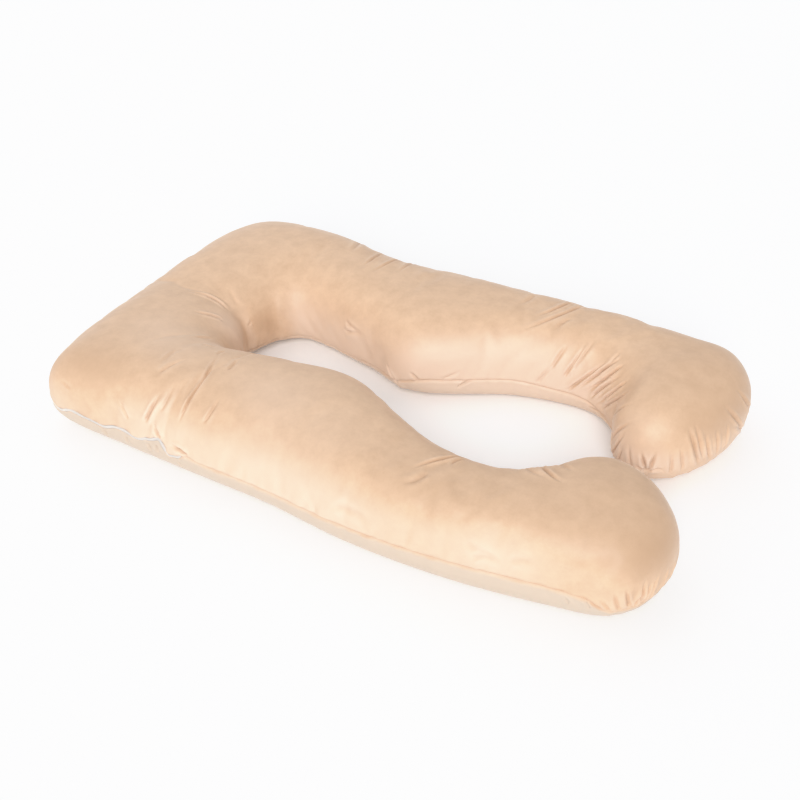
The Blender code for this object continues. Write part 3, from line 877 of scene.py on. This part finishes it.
def repeat_tree():
    """A tree that sets one rounded bar after another along an edge line, square to its side."""
    tree = bpy.data.node_groups.new("bars_along_line", "GeometryNodeTree")
    face = tree.interface
    face.new_socket("Line", in_out="INPUT", socket_type="NodeSocketGeometry")
    for name in ("Pitch", "Along", "Across", "Thickness"):
        face.new_socket(name, in_out="INPUT", socket_type="NodeSocketFloat")
    face.new_socket("Finish", in_out="INPUT", socket_type="NodeSocketMaterial")
    face.new_socket("Bars", in_out="OUTPUT", socket_type="NodeSocketGeometry")
    nodes = tree.nodes
    links = tree.links
    given = nodes.new("NodeGroupInput")
    made = nodes.new("NodeGroupOutput")
    curve = nodes.new("GeometryNodeMeshToCurve")
    links.new(given.outputs["Line"], curve.inputs["Mesh"])
    spaced = nodes.new("GeometryNodeResampleCurve")
    spaced.mode = "LENGTH"
    links.new(curve.outputs["Curve"], spaced.inputs["Curve"])
    links.new(given.outputs["Pitch"], spaced.inputs["Length"])
    tangent = nodes.new("GeometryNodeInputTangent")
    outward = nodes.new("GeometryNodeInputNamedAttribute")
    outward.data_type = "FLOAT_VECTOR"
    outward.inputs["Name"].default_value = "outward"
    turned = nodes.new("FunctionNodeAxesToRotation")
    turned.primary_axis = "X"
    turned.secondary_axis = "Z"
    links.new(tangent.outputs["Tangent"], turned.inputs["Primary Axis"])
    links.new(outward.outputs["Attribute"], turned.inputs["Secondary Axis"])
    bar = nodes.new("GeometryNodeMeshUVSphere")
    bar.inputs["Segments"].default_value = 6
    bar.inputs["Rings"].default_value = 4
    bar.inputs["Radius"].default_value = 0.5
    size = nodes.new("ShaderNodeCombineXYZ")
    links.new(given.outputs["Along"], size.inputs["X"])
    links.new(given.outputs["Across"], size.inputs["Y"])
    links.new(given.outputs["Thickness"], size.inputs["Z"])
    placed = nodes.new("GeometryNodeInstanceOnPoints")
    links.new(spaced.outputs["Curve"], placed.inputs["Points"])
    links.new(bar.outputs["Mesh"], placed.inputs["Instance"])
    links.new(turned.outputs["Rotation"], placed.inputs["Rotation"])
    links.new(size.outputs["Vector"], placed.inputs["Scale"])
    real = nodes.new("GeometryNodeRealizeInstances")
    links.new(placed.outputs["Instances"], real.inputs["Geometry"])
    smooth = nodes.new("GeometryNodeSetShadeSmooth")
    links.new(real.outputs["Geometry"], smooth.inputs["Geometry"])
    finish = nodes.new("GeometryNodeSetMaterial")
    links.new(smooth.outputs["Geometry"], finish.inputs["Geometry"])
    links.new(given.outputs["Finish"], finish.inputs["Material"])
    links.new(finish.outputs["Geometry"], made.inputs["Bars"])
    return tree


BARS_ALONG_LINE = repeat_tree()


def bars_along(name, points, outwards, pitch, along, across, thickness, material):
    """Rounded bars set one after another along a line, as a plain mesh."""
    mesh = bpy.data.meshes.new(name)
    edges = [(i, i + 1) for i in range(len(points) - 1)]
    mesh.from_pydata([tuple(point) for point in points], edges, [])
    mesh.attributes.new("outward", "FLOAT_VECTOR", "POINT").data.foreach_set(
        "vector", np.asarray(outwards, dtype=np.float32).ravel())
    obj = bpy.data.objects.new(name, mesh)
    bpy.context.scene.collection.objects.link(obj)
    modifier = obj.modifiers.new("bars", "NODES")
    modifier.node_group = BARS_ALONG_LINE
    given = {"Pitch": pitch, "Along": along, "Across": across, "Thickness": thickness,
             "Finish": material}
    for socket in BARS_ALONG_LINE.interface.items_tree:
        if socket.in_out == "INPUT" and socket.name in given:
            modifier[socket.identifier] = given[socket.name]
    applied(obj)
    return obj


def thread_material():
    material, nodes, links = new_material("seam_thread")
    shader = nodes["Principled BSDF"]
    shader.inputs["Roughness"].default_value = 0.5
    place = nodes.new("ShaderNodeTexCoord")
    twist = nodes.new("ShaderNodeTexWave")
    twist.inputs["Scale"].default_value = 900.0
    twist.inputs["Distortion"].default_value = 1.5
    links.new(place.outputs["Object"], twist.inputs["Vector"])
    shaded = tuple(THREAD_SHADE * channel for channel in THREAD[:3]) + (1.0,)
    links.new(mixed(nodes, links, twist.outputs["Fac"], THREAD, shaded),
              shader.inputs["Base Color"])
    return material


seam_points = co[side_verts[:, SEAM_ROW]]
seam_out = normals(mesh)[side_verts[:, SEAM_ROW]]
# The line goes once round the pillow, from one end of the zip to the other.
order = np.roll(np.arange(side_count), -zip_rings[-1])[:side_count - len(zip_rings) + 2]
stitches = bars_along("seam_stitches", seam_points[order] + seam_out[order] * STITCH_STAND,
                      seam_out[order], STITCH_PITCH, STITCH_LENGTH, STITCH_WIDTH, STITCH_WIDTH,
                      thread_material())
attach(stitches, "root")

# ---- the zip -----------------------------------------------------------------------------------
# A fine white nylon coil zip on a woven tape, sewn into the seam along the near side of the head
# end and round its corner. It is closed and lies in waves.
TAPE_WIDTH = 0.0080
TAPE_THICKNESS = 0.0006
TAPE_STAND = 0.0009
COIL_PITCH = 0.0016
COIL_ALONG = 0.0011
COIL_ACROSS = 0.0030
COIL_THICKNESS = 0.0013
COIL_OFFSET = 0.0008       # each row of the coil is this far from the middle line
ZIP_FINE = 4               # points of the zip's line between two rings of the cover
WHITE_NYLON = (0.74, 0.70, 0.66, 1.0)
TAPE_WHITE = (0.68, 0.63, 0.59, 1.0)


def nylon_material(name, colour, roughness, scale):
    material, nodes, links = new_material(name)
    shader = nodes["Principled BSDF"]
    shader.inputs["Base Color"].default_value = colour
    shader.inputs["Roughness"].default_value = roughness
    place = nodes.new("ShaderNodeTexCoord")
    grain = nodes.new("ShaderNodeTexNoise")
    grain.inputs["Scale"].default_value = scale
    links.new(place.outputs["Object"], grain.inputs["Vector"])
    bump = nodes.new("ShaderNodeBump")
    bump.inputs["Strength"].default_value = 0.3
    bump.inputs["Distance"].default_value = 0.0002
    links.new(grain.outputs["Fac"], bump.inputs["Height"])
    links.new(bump.outputs["Normal"], shader.inputs["Normal"])
    return material


rough_line = co[side_verts[zip_rings, SEAM_ROW]]
rough_out = normals(mesh)[side_verts[zip_rings, SEAM_ROW]]
steps = np.linspace(0, len(zip_rings) - 1, (len(zip_rings) - 1) * ZIP_FINE + 1)
guided = np.concatenate((rough_line[:1], rough_line, rough_line[-1:]))
zip_line = through_rows(guided, np.clip(steps, 0, len(zip_rings) - 1.0001))
zip_out = np.column_stack([np.interp(steps, np.arange(len(zip_rings)), rough_out[:, axis])
                           for axis in range(3)])
zip_out /= np.linalg.norm(zip_out, axis=1)[:, None]
zip_ahead = np.gradient(zip_line, axis=0)
zip_ahead /= np.linalg.norm(zip_ahead, axis=1)[:, None]
zip_across = np.cross(zip_ahead, zip_out)

# The tape is a thin ribbon, a little domed over the coil.
TapePoint = namedtuple("TapePoint", "across lift")
TAPE_SECTION = (
    TapePoint(-0.50, 0.0),
    TapePoint(-0.25, 0.5),
    TapePoint(0.00, 0.8),
    TapePoint(0.25, 0.5),
    TapePoint(0.50, 0.0),
    TapePoint(0.25, -0.5),
    TapePoint(-0.25, -0.5),
)
tape_rings = np.stack([
    zip_line + zip_across * (point.across * TAPE_WIDTH)
    + zip_out * (TAPE_STAND + point.lift * TAPE_THICKNESS) for point in TAPE_SECTION], axis=1)
corner_count = len(TAPE_SECTION)
tape_end = len(tape_rings) * corner_count
tape_faces = [tuple(range(corner_count)), tuple(range(tape_end - corner_count, tape_end))]
for ring in range(len(tape_rings) - 1):
    for corner in range(corner_count):
        here = ring * corner_count + corner
        beside = ring * corner_count + (corner + 1) % corner_count
        tape_faces.append((here, beside, beside + corner_count, here + corner_count))
zip_tape = make_mesh("zip_tape", tape_rings.reshape(-1, 3), tape_faces)
zip_tape.data.materials.append(nylon_material("zip_tape_white", TAPE_WHITE, 0.75, 2500.0))
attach(zip_tape, "root")
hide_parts("zip")

coil_finish = nylon_material("zip_coil_white", WHITE_NYLON, 0.35, 1800.0)
coil_stand = TAPE_STAND + TAPE_THICKNESS
for side_name, turn_side, start in (("upper", 1, 0), ("lower", -1, ZIP_FINE // 2)):
    line = zip_line + zip_across * (turn_side * COIL_OFFSET) + zip_out * coil_stand
    coil = bars_along("zip_coil_" + side_name, line[start:], zip_out[start:], COIL_PITCH,
                      COIL_ALONG, COIL_ACROSS, COIL_THICKNESS, coil_finish)
    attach(coil, "root")

# ---- floor and light ---------------------------------------------------------------------------
# A wide white floor in a white tent, under two soft lamps that shine from beside the camera and two
# large dim walls, one at the left and one behind. The picture is developed like film: whatever is
# brighter than a level rolls off softly towards white.
FLOOR_SIZE = 20.0
FLOOR_CLEAR = 0.0005       # just under the pillow
FLOOR_WHITE = (0.940, 0.948, 0.965, 1.0)
FLOOR_GLOW = 0.10
TENT_GLOW = 0.40
ROLL_OFF = 0.90            # the film rolls off above this level
WHITE_LEVEL = 3.0          # and is quite white at this one
FILM_POINTS = 14

bpy.ops.mesh.primitive_plane_add(size=FLOOR_SIZE, location=(0, 0, -FLOOR_CLEAR))
floor = bpy.context.object
floor.name = "floor"
floor_material, nodes, links = new_material("floor_white")
nodes["Principled BSDF"].inputs["Base Color"].default_value = FLOOR_WHITE
nodes["Principled BSDF"].inputs["Roughness"].default_value = 0.7
nodes["Principled BSDF"].inputs["Emission Color"].default_value = FLOOR_WHITE
nodes["Principled BSDF"].inputs["Emission Strength"].default_value = FLOOR_GLOW
floor.data.materials.append(floor_material)

world = bpy.data.worlds.new("tent")
world.use_nodes = True
world.node_tree.nodes["Background"].inputs["Color"].default_value = (1.0, 1.0, 1.0, 1.0)
world.node_tree.nodes["Background"].inputs["Strength"].default_value = TENT_GLOW
bpy.context.scene.world = world

# Angles in degrees: the azimuth goes from the front towards the right, the spread is how wide the
# lamp looks from the pillow.
Lamp = namedtuple("Lamp", "name azimuth elevation spread strength")
LAMPS = (
    Lamp("low_lamp", 22, 20, 29, 0.81),
    Lamp("high_lamp", 22, 40, 29, 1.53),
    Lamp("left_wall", -90, 20, 126, 0.86),
    Lamp("back_wall", 180, 20, 126, 0.72),
)
for row in LAMPS:
    light = bpy.data.lights.new(row.name, "SUN")
    light.energy = row.strength
    light.angle = math.radians(row.spread)
    lamp = bpy.data.objects.new(row.name, light)
    azimuth = math.radians(row.azimuth)
    elevation = math.radians(row.elevation)
    towards = Vector((math.sin(azimuth) * math.cos(elevation),
                      -math.cos(azimuth) * math.cos(elevation), math.sin(elevation)))
    lamp.rotation_euler = towards.to_track_quat("Z", "Y").to_euler()
    bpy.context.scene.collection.objects.link(lamp)

view = bpy.context.scene.view_settings
view.view_transform = "Standard"
view.use_curve_mapping = True
film = view.curve_mapping
film.white_level = (WHITE_LEVEL, WHITE_LEVEL, WHITE_LEVEL)
response = film.curves[3]
response.points[0].location = (0.0, 0.0)
response.points[1].location = (1.0, 1.0)
for level in np.linspace(ROLL_OFF, WHITE_LEVEL, FILM_POINTS)[:-1]:
    shown = ROLL_OFF + (1 - ROLL_OFF) * (1 - math.exp(-(level - ROLL_OFF) / (1 - ROLL_OFF)))
    response.points.new(level / WHITE_LEVEL, shown)
for point in response.points:
    point.handle_type = "VECTOR"
film.update()
